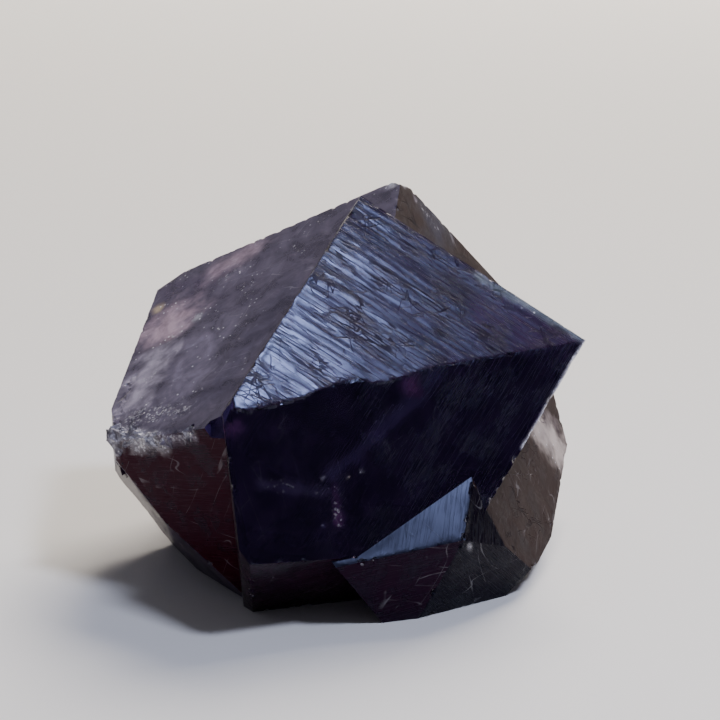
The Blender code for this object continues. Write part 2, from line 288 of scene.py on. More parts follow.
# Besides the crystal's own clouds, frost and veils, some colours paint light: white and cream for painted
# glints and highlights, pale teal for a painted edge highlight, dark grey for painted shade.
PINK_CLOUD, PALE_CLOUD, BEIGE_CLOUD, GREY_CLOUD = "c2a9b6", "b8afbf", "d8c3a4", "8f879b"
FROST_AND_HIGHLIGHT, VEIL_AND_GLINT, HAZE, PLUM = "e9e7ee", "7d7796", "b5aaa6", "6a2b58"
PAINTED_TEAL_HIGHLIGHT, SILK, PAINTED_GLINT, PAINTED_SHADE, TIP_VIOLET = "93a5aa", "5b6090", "f2e2c8", "454152", "6c4f7c"
BLEMISHES_AND_PAINTED_LIGHT = (
    BlemishAndPaintedLight((-18.0, 7.0, -2.0), 4.0, 0.95, PINK_CLOUD),
    BlemishAndPaintedLight((-13.2, 12.0, -5.5), 2.2, 0.60, PINK_CLOUD, end=(-9.5, 14.3, -5.6)),
    BlemishAndPaintedLight((-19.4, 8.6, -6.0), 0.9, 0.90, BEIGE_CLOUD),
    BlemishAndPaintedLight((-19.2, 4.0, 2.5), 3.2, 0.90, PALE_CLOUD, end=(-20.8, 0.5, 6.4)),
    BlemishAndPaintedLight((-16.0, 1.0, 8.5), 3.8, 0.55, GREY_CLOUD, end=(-14.0, 5.0, 5.0)),
    BlemishAndPaintedLight((-15.2, 7.8, 0.0), 1.0, 0.45, FROST_AND_HIGHLIGHT, 0.25),
    BlemishAndPaintedLight((-16.5, -1.5, 11.2), 2.6, 0.45, GREY_CLOUD),
    BlemishAndPaintedLight((-17.0, 5.5, 0.5), 0.9, 0.50, FROST_AND_HIGHLIGHT, 0.45),
    # Painted shade: a dark strip on the smoky face beside its edge with the satin face.
    BlemishAndPaintedLight((-5.7, 10.2, 6.0), 2.4, 0.50, PAINTED_SHADE, end=(-12.5, 0.5, 13.5)),
    BlemishAndPaintedLight((-19.6, 2.0, 4.6), 1.2, 0.40, PALE_CLOUD, 0.45),
    BlemishAndPaintedLight((-12.8, 11.2, -4.0), 0.9, 0.40, PALE_CLOUD, 0.45, end=(-9.6, 12.6, -3.4)),
    BlemishAndPaintedLight((4.3, 20.8, 0.0), 0.9, 0.90, FROST_AND_HIGHLIGHT, 0.8, 0.6),
    # Painted shade darkening the back corner.
    BlemishAndPaintedLight((8.2, 17.0, -3.6), 4.2, 0.85, "312f3c"),
    BlemishAndPaintedLight((6.0, 19.2, -1.2), 0.7, 0.60, PALE_CLOUD, 0.45, end=(8.8, 16.2, -4.2)),
    BlemishAndPaintedLight((7.4, 18.4, -3.4), 0.4, 0.55, FROST_AND_HIGHLIGHT, 0.5, end=(10.2, 16.4, -8.2)),
    BlemishAndPaintedLight((-22.3, -4.6, 9.6), 1.3, 0.50, FROST_AND_HIGHLIGHT, 0.85, 0.9, end=(-21.4, -3.6, 10.4)),
    BlemishAndPaintedLight((-21.4, -3.7, 10.6), 1.1, 0.50, FROST_AND_HIGHLIGHT, 0.85, 1.0, end=(-17.6, -4.3, 13.8)),
    BlemishAndPaintedLight((-17.6, -4.0, 13.8), 0.7, 0.50, PALE_CLOUD, 0.60, 0.8, end=(-14.6, -3.4, 16.6)),
    BlemishAndPaintedLight((-20.4, -1.6, 9.2), 1.5, 0.30, GREY_CLOUD, 0.50, 0.3, end=(-15.5, -1.6, 12.4)),
    BlemishAndPaintedLight((-21.6, 3.4, 1.8), 0.9, 0.20, GREY_CLOUD, 0.40, 0.9, end=(-22.6, -2.4, 8.8)),
    BlemishAndPaintedLight((20.0, -3.0, -9.0), 3.2, 0.90, HAZE, end=(21.4, -6.6, -13.0)),
    # Painted highlight: a pale blue-green strip along the top-right edge to the tip.
    BlemishAndPaintedLight((12.4, 11.3, 8.8), 0.8, 0.65, PAINTED_TEAL_HIGHLIGHT, 0.10, end=(22.0, 5.6, 8.0)),
    # Painted glints: a white streak on the small crystal's edge.
    BlemishAndPaintedLight((10.9, -13.4, 15.9), 0.30, 0.35, FROST_AND_HIGHLIGHT, 0.50, end=(11.7, -15.6, 15.2)),
    BlemishAndPaintedLight((-7.8, -7.6, 21.9), 0.7, 0.14, VEIL_AND_GLINT, 0.22, end=(-1.2, -8.4, 19.2)),
    BlemishAndPaintedLight((-1.4, -8.0, 19.2), 0.5, 0.35, PLUM, 0.40, end=(-1.0, -11.0, 19.4)),
    # Painted glints: white and cream dots on the dark growth face, and a faint ring below them.
    BlemishAndPaintedLight((-2.4, -7.1, 19.7), 0.22, 0.40, FROST_AND_HIGHLIGHT, 0.45),
    BlemishAndPaintedLight((-0.1, -7.1, 18.7), 0.17, 0.60, PAINTED_GLINT, 0.55),
    BlemishAndPaintedLight((1.1, -6.6, 18.2), 0.20, 0.45, FROST_AND_HIGHLIGHT, 0.50),
    BlemishAndPaintedLight((-2.4, -11.4, 20.1), 0.30, 0.40, VEIL_AND_GLINT, 0.45),
    BlemishAndPaintedLight((5.7, 1.2, 15.4), 1.2, 0.36, PLUM),
    BlemishAndPaintedLight((8.0, 2.0, 14.4), 0.9, 0.13, SILK, end=(-1.5, -6.9, 19.3)),
    BlemishAndPaintedLight((-12.0, -2.0, 20.4), 1.0, 0.55, PLUM, end=(-10.6, -2.6, 21.6)),
    # A lighter violet patch towards the tip of the satin face.
    BlemishAndPaintedLight((19.5, 5.8, 9.0), 2.8, 0.16, TIP_VIOLET, end=(14.0, 8.0, 10.2)),
    # Painted highlight: a white line down the edge from the tip.
    BlemishAndPaintedLight((22.4, 5.4, 8.0), 0.28, 1.00, FROST_AND_HIGHLIGHT, 1.0, end=(16.2, -4.6, 11.7)),
    # Painted highlight: a short white line on the edge below the top corner.
    BlemishAndPaintedLight((0.8, 19.2, 9.2), 0.30, 0.80, FROST_AND_HIGHLIGHT, 0.8, end=(-0.2, 18.0, 10.0)),
)
BRUISED = tuple(patch for patch in BLEMISHES_AND_PAINTED_LIGHT if patch.bruise > 0.0)


@dataclass(frozen=True)
class GrownRelief:
    """How a facet's surface is uneven. Rates are per millimetre along and across its growth lines."""

    facet_seed: float = 3.7
    wander_rate: float = 0.20
    wander_seed: float = 50.0
    wander_along: float = 0.15
    wander_across: float = 0.3
    ledge_along: float = 0.045
    ledge_across: float = 0.34
    ledge_swing: float = 3.4
    ledges_to_one: int = 3
    ledge_front: float = 0.25
    wave_rate: float = 0.35
    wave_seed: float = 9.0
    furrow_depth: float = 0.022
    furrow_along: float = 0.22
    furrow_across: float = 2.1
    furrow_seed: float = 17.0

    def height(self, look: FacetLook, point: Vector, number: int) -> float:
        """How far a place on a facet stands out, in millimetres.

        Args:
            look: the facet's look.
            point: the place in the facet's own plane.
            number: the facet's number.

        Returns:
            The height, below 0 where it is sunk.
        """
        u, v, seed = point.x, point.y, number * self.facet_seed
        wander = ripple(u * self.wander_rate, v * self.wander_rate, seed + self.wander_seed)
        level = self.ledges_to_one * self.ledge_swing * ripple(
            u * self.ledge_along + wander * self.wander_along,
            v * self.ledge_across + wander * self.wander_across,
            seed,
        )
        whole = math.floor(level)
        ledge = look.ledge * (whole + ramp(level - whole, 0.0, self.ledge_front)) / self.ledges_to_one
        wave = look.wave * ripple(u * self.wave_rate, v * self.wave_rate, seed + self.wave_seed)
        furrow = ripple(u * self.furrow_along, v * self.furrow_across, seed + self.furrow_seed)
        return ledge + wave + look.striae * self.furrow_depth * furrow


@dataclass
class MeshParts:
    """The fine mesh while it is made: places in metres, triangles, and what each triangle and place is."""

    places: list = field(default_factory=list)
    triangles: list = field(default_factory=list)
    wear: list = field(default_factory=list)
    kinds: list = field(default_factory=list)
    grains: list = field(default_factory=list)


@dataclass
class StoneSkin:
    """The specimen's visible skin: its solid's facets cut up finely, with ledges, waves and chipped edges.

    Lengths are in millimetres.
    """

    frame: DisplayFrame
    relief: GrownRelief = GrownRelief()
    edge_step: float = 0.20
    join_reach: float = 0.001
    grid_jitter: float = 0.18
    rim_gap: float = 0.45
    fill_inside: int = 1
    fill_gap: float = 1e-5
    crumb_area: float = 4.0
    dent_place: tuple[float, float, float] = (-13.0, -2.6, 19.0)
    dent_reach: float = 4.5
    same_facing: float = 0.9985
    flat_angle: float = math.radians(0.4)
    fade: float = 0.70
    wear_share: float = 0.05
    worn: float = 0.025
    wear_rate: float = 1.3
    wear_frost: float = 0.12
    chip: float = 0.22
    chip_rate: float = 0.5
    chip_seed: float = 20.0
    chip_bunching: float = 0.6
    chip_range: tuple[float, float] = (0.32, 0.75)
    chip_frost: float = 0.45
    bruise: float = 0.30
    bruise_rate: float = 1.9
    bruise_seed: float = 5.0
    bruise_level: float = 0.5
    bruise_swing: float = 0.9
    bruise_range: tuple[float, float] = (1.6, 0.5)
    pit_rate: float = 2.1
    pit_level: float = 0.3
    crumb_bruise: float = 0.1
    sharp_angle: float = math.radians(12.0)
    crease_ends: tuple = ((-11.2, -0.55, 22.6), (22.4, 5.4, 8.0))
    crease_drops: tuple = (
        (0.0, 0.0), (0.03, 0.5), (0.06, 0.85), (0.12, 0.75), (0.18, 0.62), (0.26, 0.05), (0.30, -0.25),
        (0.35, -0.30), (0.39, 0.30), (0.43, 0.50), (0.48, 0.25), (0.54, -0.05), (0.63, -0.12), (1.0, 0.0),
    )
    crease_reach: float = 0.3
    crease_waver: float = 0.06
    crease_waver_rate: float = 60.0
    crease_seed: float = 3.0
    grain_shift: float = 31.7
    cloud_body: float = 0.85
    cloud_reach: float = 1.35
    cloud_ragged: float = 0.55
    cloud_ragged_rate: float = 0.55
    cloud_fine: float = 0.30
    cloud_fine_rate: float = 1.9
    cloud_fine_seed: float = 7.0
    cloud_fall: float = 1.5
    crumb_frost: float = 0.55
    satin_lines: float = 0.50
    satin_cracks: float = 0.45
    brow_lines: float = 0.15
    dull_from: float = -6.0
    dull_to: float = 10.0
    dull_roughness: float = 0.07

    def build(self, node: bpy.types.Object) -> bpy.types.Object:
        """Makes the skin over the specimen's solid.

        Args:
            node: the solid's own object, which is only read.

        Returns:
            The skin as a new object.
        """
        solid = bmesh.new()
        solid.from_mesh(node.data)
        bmesh.ops.remove_doubles(solid, verts=solid.verts, dist=MM * self.join_reach)
        bmesh.ops.dissolve_limit(
            solid, angle_limit=self.flat_angle, verts=solid.verts[:], edges=solid.edges[:], delimit=set()
        )
        solid.normal_update()
        parts = MeshParts()
        edge_points = self.split_edges(solid, parts)
        for number, face in enumerate(solid.faces):
            self.fill_facet(face, number, edge_points, parts)
        solid.free()
        mesh = bpy.data.meshes.new("fluorite_skin")
        mesh.from_pydata([tuple(place) for place in parts.places], [], parts.triangles)
        mesh.polygons.foreach_set("use_smooth", [True] * len(mesh.polygons))
        mesh.set_sharp_from_angle(angle=self.sharp_angle)
        self.write_grain(mesh, parts)
        self.write_looks(mesh, parts)
        mesh.update()
        skin = bpy.data.objects.new("fluorite_skin", mesh)
        bpy.context.scene.collection.objects.link(skin)
        LOG.info("fluorite_skin: %d facets, %d triangles", number + 1, len(mesh.polygons))
        return skin

    def split_edges(self, solid: bmesh.types.BMesh, parts: MeshParts) -> dict:
        """Cuts every edge of the solid into short steps, worn and chipped where it stands out.

        Args:
            solid: the solid, with its flat faces whole.
            parts: the mesh that the places are added to.

        Returns:
            For each edge's number, the numbers of its places, from its first corner to its second.
        """
        corners = {}
        for vert in solid.verts:
            shortest = min(edge.calc_length() for edge in vert.link_edges) / MM
            corners[vert.index] = self.add_worn(parts, vert.co, vert.normal, 1.0, shortest)
        edge_points = {}
        for edge in solid.edges:
            first, second = edge.verts
            length = edge.calc_length() / MM
            count = max(1, round(length / self.edge_step))
            outward = sum((face.normal for face in edge.link_faces), Vector()).normalized()
            standing = 1.0 if edge.is_convex and edge.calc_face_angle(0.0) > self.sharp_angle else 0.0
            numbers = [corners[first.index]]
            for at in range(1, count):
                place = first.co.lerp(second.co, at / count)
                numbers.append(self.add_worn(parts, place, outward, standing, length))
            numbers.append(corners[second.index])
            edge_points[edge.index] = numbers
        return edge_points

    def add_worn(
        self, parts: MeshParts, place: Vector, outward: Vector, standing: float, length: float
    ) -> int:
        """Adds a place on an edge, moved in by wear, by an occasional chip and by a bruise.

        Args:
            parts: the mesh that it is added to.
            place: where it is before the wear, in metres.
            outward: the way that the edge faces.
            standing: 1 where the edge stands out, 0 where it lies in a corner.
            length: the edge's length, or the shortest one's at a corner, in millimetres.

        Returns:
            The place's number.
        """
        stone_place = place / MM
        fine = swell(stone_place, self.wear_rate)
        bunched = swell(stone_place, self.chip_rate, self.chip_seed)
        chipped = ramp(fine + self.chip_bunching * bunched, *self.chip_range)
        rough = swell(stone_place, self.bruise_rate, self.bruise_seed)
        bruise = self.bruise * self.bruised(place) * (self.bruise_level + self.bruise_swing * rough)
        depth = self.worn * (1.0 + fine) + self.chip * chipped + bruise
        depth = min(depth, self.wear_share * length)
        parts.places.append(place - outward * depth * standing * MM + self.crease_shift(place))
        parts.wear.append(standing * (self.chip_frost * chipped + self.wear_frost * max(0.0, fine)))
        return len(parts.places) - 1

    def bruised(self, place: Vector) -> float:
        """How bruised the crystal is at a place in metres, from 0 to 1."""
        seen = np.array(self.frame.seen(place))
        return max(patch.bruise * ramp(float(patch.away(seen)), *self.bruise_range) for patch in BRUISED)

    def crease_shift(self, place: Vector) -> Vector:
        """Moves the crease between the satin and the dark growth face up and down in the satin face's plane.

        Args:
            place: a place on an edge, in metres.

        Returns:
            How far the place moves, in metres: not at all if it isn't on that crease.
        """
        start, end = (Vector(at) for at in self.crease_ends)
        away = self.frame.seen(place) - start
        run = end - start
        share = away.dot(run) / run.length_squared
        if not 0.0 < share < 1.0 or (away - run * share).length > self.crease_reach:
            return Vector()
        shares, drops = zip(*self.crease_drops)
        waver = self.crease_waver * ripple(share * self.crease_waver_rate, 0.0, self.crease_seed)
        drop = float(np.interp(share, shares, drops)) + waver
        down = Vector(RULES[0].outward).cross(run).normalized()
        down = down if down.y < 0 else -down
        return self.frame.turned(down * drop) * MM

    def look_of(self, face: bmesh.types.BMFace) -> tuple[Facet, Vector]:
        """What a facet is, and the way that its growth lines run in the stone's frame."""
        best, grain, kind = self.same_facing, WALL_GRAIN, Facet.WALL
        for rule in RULES:
            likeness = self.frame.turned(Vector(rule.outward)).normalized().dot(face.normal)
            if likeness > best:
                best, grain, kind = likeness, rule.grain, rule.kind
        if kind is Facet.WALL and face.calc_area() < self.crumb_area * MM * MM:
            centre = face.calc_center_median()
            if self.bruised(centre) > self.crumb_bruise:
                kind = Facet.CRUMB
            elif (self.frame.seen(centre) - Vector(self.dent_place)).length < self.dent_reach:
                kind = Facet.DENT
        return kind, self.frame.turned(Vector(grain))

    def fill_facet(self, face: bmesh.types.BMFace, number: int, edge_points: dict, parts: MeshParts) -> None:
        """Fills one facet with fine triangles, and raises its ledges and waves.

        Args:
            face: the flat facet.
            number: its number, which keeps its pattern apart from the others'.
            edge_points: the places on each edge, from split_edges.
            parts: the mesh that it is added to.
        """
        kind, grain = self.look_of(face)
        look = LOOKS[kind]
        normal = face.normal.copy()
        along = (grain - normal * grain.dot(normal)).normalized()
        across = normal.cross(along)
        centre = face.calc_center_median()
        rim = []
        for loop in face.loops:
            points = edge_points[loop.edge.index]
            rim.extend(points[:-1] if loop.edge.verts[0] is loop.vert else points[:0:-1])
        flat = []
        for at in rim:
            away = (parts.places[at] - centre) / MM
            flat.append(Vector((away.dot(along), away.dot(across))))
        inner = self.inner_points(flat, look, number)
        rings = [(at, (at + 1) % len(flat)) for at in range(len(flat))]
        made, _, faces, origins, _, _ = geometry.delaunay_2d_cdt(
            flat + inner, rings, [], self.fill_inside, self.fill_gap, True
        )
        near = kdtree.KDTree(len(flat))
        for at, point in enumerate(flat):
            near.insert((point.x, point.y, 0.0), at)
        near.balance()
        numbers = []
        for point, source in zip(made, origins):
            if source and source[0] < len(rim):
                numbers.append(rim[source[0]])
                continue
            gap = near.find((point.x, point.y, 0.0))[2]
            height = self.relief.height(look, point, number) * ramp(gap, 0.0, self.fade)
            place = centre + (along * point.x + across * point.y) * MM
            pitted = self.pit_level + ripple(point.x * self.pit_rate, point.y * self.pit_rate, number)
            height -= self.bruise * self.bruised(place) * pitted
            numbers.append(len(parts.places))
            parts.places.append(place + normal * height * MM)
            parts.wear.append(0.0)
        middles = np.array([sum((made[at] for at in corners), Vector((0.0, 0.0))) / 3 for corners in faces])
        outline = np.array([tuple(point) for point in flat])
        for corners, covered in zip(faces, self.covered(outline, middles[:, 0], middles[:, 1])):
            if not covered:
                continue
            a, b, c = (made[at] for at in corners)
            turn = (b - a).cross(c - a)
            order = corners if turn > 0 else corners[::-1]
            ids = tuple(numbers[at] for at in order)
            if len(set(ids)) < 3:
                continue
            parts.triangles.append(ids)
            parts.kinds.append(kind)
            parts.grains.append((number, centre, along, across))

    def inner_points(self, rim: list, look: FacetLook, number: int) -> list:
        """The places inside a facet's rim, on a slightly uneven grid.

        Args:
            rim: the facet's outline in its own plane.
            look: the facet's look, which says how fine the grid is.
            number: the facet's number.

        Returns:
            The places in the facet's own plane.
        """
        outline = np.array([tuple(point) for point in rim])
        low, high = outline.min(0), outline.max(0)
        us = np.arange(low[0] + look.step_along / 2, high[0], look.step_along)
        vs = np.arange(low[1] + look.step_across / 2, high[1], look.step_across)
        if not len(us) or not len(vs):
            return []
        grid_u, grid_v = np.meshgrid(us, vs)
        grid_u[1::2] += look.step_along / 2
        chance = np.random.default_rng(number)
        jitter = self.grid_jitter
        grid_u = (grid_u + chance.uniform(-jitter, jitter, grid_u.shape) * look.step_along).ravel()
        grid_v = (grid_v + chance.uniform(-jitter, jitter, grid_v.shape) * look.step_across).ravel()
        inside = self.covered(outline, grid_u, grid_v)
        gap = np.full(len(grid_u), np.inf)
        for start, end in zip(outline, np.roll(outline, -1, axis=0)):
            run = end - start
            length = max(float(run @ run), TINY)
            share = np.clip(((grid_u - start[0]) * run[0] + (grid_v - start[1]) * run[1]) / length, 0, 1)
            away = np.hypot(grid_u - start[0] - share * run[0], grid_v - start[1] - share * run[1])
            gap = np.minimum(gap, away)
        keep = inside & (gap > self.rim_gap * min(look.step_across, self.edge_step))
        return [Vector((u, v)) for u, v in zip(grid_u[keep], grid_v[keep])]

    def covered(self, outline: np.ndarray, us: np.ndarray, vs: np.ndarray) -> np.ndarray:
        """Which places lie inside a facet's outline.

        Args:
            outline: the outline's corners in the facet's own plane.
            us: the places' distances along the growth lines.
            vs: the places' distances across them.

        Returns:
            For each place, whether it is inside.
        """
        inside = np.zeros(len(us), bool)
        for start, end in zip(outline, np.roll(outline, -1, axis=0)):
            run = end - start
            if run[1] != 0:
                crossing = (start[1] > vs) != (end[1] > vs)
                inside ^= crossing & (us < start[0] + (vs - start[1]) * run[0] / run[1])
        return inside

    def write_grain(self, mesh: bpy.types.Mesh, parts: MeshParts) -> None:
        """Writes where each corner lies along and across its facet's growth lines, as a UV map."""
        layer = mesh.uv_layers.new(name="grain")
        places = np.array([tuple(place) for place in parts.places])
        corners = places[np.array(parts.triangles)]
        centres = np.array([tuple(grain[1]) for grain in parts.grains])[:, None, :]
        alongs = np.array([tuple(grain[2]) for grain in parts.grains])[:, None, :]
        acrosses = np.array([tuple(grain[3]) for grain in parts.grains])[:, None, :]
        shift = np.array([grain[0] for grain in parts.grains], float)[:, None] * self.grain_shift
        away = (corners - centres) / MM
        flat = np.stack([(away * alongs).sum(-1) + shift, (away * acrosses).sum(-1) + shift], axis=-1)
        layer.data.foreach_set("uv", flat.ravel())

    def write_looks(self, mesh: bpy.types.Mesh, parts: MeshParts) -> None:
        """Writes each corner's colour, cloudiness, lines, cracks, frost and roughness as two attributes."""
        kinds = list(LOOKS)
        looks = [LOOKS[kind] for kind in kinds]
        tints = np.array([(*linear(look.tint), look.body) for look in looks])
        marks = np.array([(look.striae, look.cracks, 0.0, look.roughness) for look in looks])
        index = np.array([kinds.index(kind) for kind in parts.kinds])
        tint = np.repeat(tints[index], 3, axis=0)
        mark = np.repeat(marks[index], 3, axis=0)
        # The patch frost is real frost and also the painted glints and highlights; the patch colour also
        # paints shade.
        patch_colour, patch_share, patch_frost = self.patches(parts)
        corner_at = np.array(parts.triangles).ravel()
        share = patch_share[corner_at][:, None]
        frost = patch_frost[corner_at]
        tint[:, :3] = tint[:, :3] * (1 - share) + patch_colour[corner_at] * share
        tint[:, 3] = tint[:, 3] * (1 - share[:, 0]) + self.cloud_body * share[:, 0]
        crumbs = np.repeat(index == kinds.index(Facet.CRUMB), 3)
        worn = np.array(parts.wear)[corner_at]
        mark[:, 2] = np.maximum(np.maximum(frost, worn), np.where(crumbs, self.crumb_frost, 0.0))
        right = np.array([self.frame.seen(place).x for place in parts.places])[corner_at]
        satin = np.repeat(index == kinds.index(Facet.SATIN), 3)
        dull = np.clip((right - self.dull_from) / (self.dull_to - self.dull_from), 0, 1)
        mark[:, 3] += np.where(satin, self.dull_roughness * dull, 0.0)
        brow = np.repeat(index == kinds.index(Facet.BROW), 3)
        satin_lines = self.satin_lines + (1 - self.satin_lines) * dull
        brow_lines = self.brow_lines + (1 - self.brow_lines) * dull
        mark[:, 0] *= np.where(satin, satin_lines, np.where(brow, brow_lines, 1.0))
        mark[:, 1] *= np.where(satin, self.satin_cracks + (1 - self.satin_cracks) * dull, 1.0)
        for name, values in (("tint", tint), ("marks", mark)):
            attribute = mesh.attributes.new(name, "FLOAT_COLOR", "CORNER")
            attribute.data.foreach_set("color", values.ravel())

    def patches(self, parts: MeshParts) -> tuple[np.ndarray, np.ndarray, np.ndarray]:
        """The clouds and frost at each place.

        Args:
            parts: the fine mesh.

        Returns:
            The patches' colour, how far it covers the facet's own, and the frost, for each place; these
            include painted glints, painted highlights and painted shade.
        """
        seen_places = [self.frame.seen(place) for place in parts.places]
        ragged = np.array([swell(place, self.cloud_ragged_rate) for place in seen_places])
        fine = np.array([swell(place, self.cloud_fine_rate, self.cloud_fine_seed) for place in seen_places])
        uneven = self.cloud_ragged * ragged + self.cloud_fine * fine
        seen = np.array([tuple(place) for place in seen_places])
        colour = np.zeros((len(seen), 3))
        share = np.zeros(len(seen))
        frost = np.zeros(len(seen))
        for patch in BLEMISHES_AND_PAINTED_LIGHT:
            soft = np.clip(self.cloud_reach - patch.away(seen) + uneven, 0, 1) ** self.cloud_fall
            cover = patch.strength * soft
            colour = np.where((cover > share)[:, None], np.array(linear(patch.colour)), colour)
            share = np.maximum(share, cover)
            frost = np.maximum(frost, patch.frost * soft)
        return colour, share, frost


@dataclass(frozen=True)
class NaturalFluorite:
    """Natural fluorite, a clear crystal coloured dark violet all through, with faces as they grew.

    To the eye it is black where it is thick and plum or smoky where light gets through a thin edge. Its
    growth lines and etched twigs break up the satin sheen of the large faces, and bruises and clouds show
    white. Gaps, lengths, depths and sizes are in millimetres.
    """

    # The real growth lines go down to a few hundredths of a millimetre, and the grit of a bruise too.
    # Both are drawn as coarse as they have to be to show, about two to four to a millimetre.

    ior: float = 1.434
    specular: float = 0.12
    # Every reflection is tinted blue-violet: a painted colour that stands for the bluish window light on the
    # sheen.
    reflected: str = "a6b2da"
    absorbed: str = "7a3fa0"
    density: float = 215.0
    smooth: float = 1.0
    wavering: float = 2.0
    stroke_core: float = 0.3
    stroke_ragged: float = 0.55
    region_detail: float = 2.0
    stria_gap: float = 0.46
    stria_length: float = 8.28
    stria_thick: float = 0.040
    fine_stria_gap: float = 0.23
    fine_stria_length: float = 3.68
    fine_stria_thick: float = 0.060
    fine_stria_turn: float = 0.02
    fine_share: float = 0.70
    thin_share: float = 0.5
    crowd_region: float = 0.8
    crowd_range: tuple[float, float] = (0.42, 0.60)
    line_depth: float = 0.026
    twig_gap: float = 2.2
    twig_length: float = 9.9
    twig_thick: float = 0.011
    twig_range: tuple[float, float] = (0.50, 0.58)
    twig_region: float = 4.5
    twig_turns: tuple[float, ...] = (math.radians(58.0), math.radians(-38.0), math.radians(12.0))
    twig_depth: float = 0.045
    scratch_gap: float = 3.0
    scratch_length: float = 18.0
    scratch_thick: float = 0.006
    scratch_turns: tuple[float, ...] = (math.radians(14.0), math.radians(-52.0))
    scratch_share: float = 0.12
    silk_turn: float = 0.01
    silk_length: float = 9.2
    silk_gap: float = 0.598
    silk_thick: float = 0.030
    silk_share: float = 0.08
    worn_region: float = 0.8
    worn_range: tuple[float, float] = (0.48, 0.62)
    cloud_size: float = 2.4
    cloud_detail: float = 6.0
    cloud_ragged: float = 0.62
    cloud_swirl: float = 0.4
    cloud_noise: tuple[float, float] = (0.34, 0.68)
    cloud_levels: tuple[float, float] = (0.62, 1.40)
    fleck_size: float = 0.70
    fleck_edge: tuple[float, float] = (0.20, 0.08)
    fleck_region: float = 1.5
    fleck_range: tuple[float, float] = (0.46, 0.60)
    pale_range: tuple[float, float] = (0.05, 0.22)
    grit_size: float = 0.27
    grit_shade: float = -0.45
    grit_contrast: tuple[float, float] = (2.2, -0.85)
    frost_range: tuple[float, float] = (0.60, 1.00)
    furrow_body: float = -0.7
    furrow_roughness: float = 0.55
    frost_roughness: float = 0.20
    grit_depth: float = 0.080
    frost_colour: str = "eceaf1"

    def build(self) -> bpy.types.Material:
        """Makes the material.

        Returns:
            The material, which reads the skin's grain, tint and marks.
        """
        material = bpy.data.materials.new("natural_fluorite")
        material.use_nodes = True
        tree = material.node_tree
        tree.nodes.clear()
        grain = add_node(tree, "UVMap", {"uv_map": "grain"}).outputs["UV"]
        metres = add_node(tree, "TexCoord").outputs["Object"]
        place = add_node(tree, "VectorMath", {"operation": "SCALE"}, at0=metres, Scale=1 / MM).outputs[0]
        tint = add_node(tree, "Attribute", {"attribute_name": "tint"})
        marks = add_node(tree, "Attribute", {"attribute_name": "marks"})
        strengths = add_node(tree, "SeparateColor", Color=marks.outputs["Color"])
        lines = self.growth_lines(tree, grain, strengths.outputs["Red"])
        twigs = self.twigs(tree, grain, strengths.outputs["Green"])
        dark = add_node(tree, "Math", LARGER, at0=lines, at1=twigs)
        cloud = self.cloud(tree, place)
        grit = self.grit(tree, place)
        shades = add_node(tree, "SeparateColor", Color=tint.outputs["Color"])
        faint, full = self.pale_range
        pale = add_node(
            tree, "MapRange", SMOOTH, Value=shades.outputs["Green"], From_Min=faint, From_Max=full
        )
        marked = self.white_marks(tree, grain, place, pale)
        frost = self.frost_share(tree, grit, strengths.outputs["Blue"], marked)
        body = self.body(tree, tint.outputs["Alpha"], cloud, dark, frost)
        clear = add_node(tree, "Math", {"operation": "SUBTRACT", "use_clamp": True}, at0=1.0, at1=body)
        colour = add_node(
            tree, "Mix", {"data_type": "RGBA"},
            at0=frost, at6=tint.outputs["Color"], at7=(*linear(self.frost_colour), 1.0),
        )
        bump = add_node(
            tree, "Bump", Strength=1.0, Distance=1.0, Height=self.height(tree, lines, twigs, grit, frost)
        )
        shader = add_node(
            tree, "BsdfPrincipled", IOR=self.ior, Base_Color=colour.outputs[2],
            Roughness=self.roughness(tree, marks.outputs["Alpha"], dark, frost),
            Transmission_Weight=clear.outputs[0], Normal=bump.outputs["Normal"],
            Specular_IOR_Level=self.specular, Specular_Tint=(*linear(self.reflected), 1.0),
        )
        absorption = add_node(
            tree, "VolumeAbsorption", Color=(*linear(self.absorbed), 1.0), Density=self.density
        )
        add_node(
            tree, "OutputMaterial", Surface=shader.outputs["BSDF"], Volume=absorption.outputs["Volume"]
        )
        return material

    def patches(self, tree: Tree, place: Signal, size: float, low: float, high: float) -> Signal:
        """Soft-edged regions, 1 inside and 0 outside.

        Args:
            tree: the material's nodes.
            place: the place in millimetres.
            size: how large the regions are.
            low: the noise at their outer edge.
            high: the noise where they are full.

        Returns:
            The node that holds them.
        """
        rough = add_node(tree, "TexNoise", Scale=1 / size, Detail=self.region_detail, Vector=place)
        return add_node(tree, "MapRange", SMOOTH, Value=rough, From_Min=low, From_Max=high)

    def strokes(
        self, tree: Tree, grain: Signal, turn: float, length: float, gap: float, thick: float, waver: float
    ) -> Signal:
        """Thin strokes on a facet, 1 on the stroke and 0 off it.

        Args:
            tree: the material's nodes.
            grain: the place along and across the facet's growth lines.
            turn: the angle that the strokes make with the growth lines.
            length: how long they are.
            gap: how far apart they are.
            thick: how thick they are, as a share of the gap.
            waver: how much they waver, 0 for straight ones.

        Returns:
            The node that holds them.
        """
        turned = add_node(tree, "VectorRotate", {"rotation_type": "Z_AXIS"}, Vector=grain, Angle=turn)
        scaled = add_node(tree, "VectorMath", TIMES, at0=turned, at1=(1 / length, 1 / gap, 1.0))
        rough = add_node(
            tree, "TexNoise", {"noise_dimensions": "2D"}, Scale=1.0, Detail=waver,
            Roughness=self.stroke_ragged, Vector=scaled,
        )
        off = add_node(tree, "Math", {"operation": "SUBTRACT"}, at0=rough, at1=0.5)
        away = add_node(tree, "Math", {"operation": "ABSOLUTE"}, at0=off)
        core = thick * self.stroke_core
        return add_node(tree, "MapRange", SMOOTH, Value=away, From_Min=thick, From_Max=core)

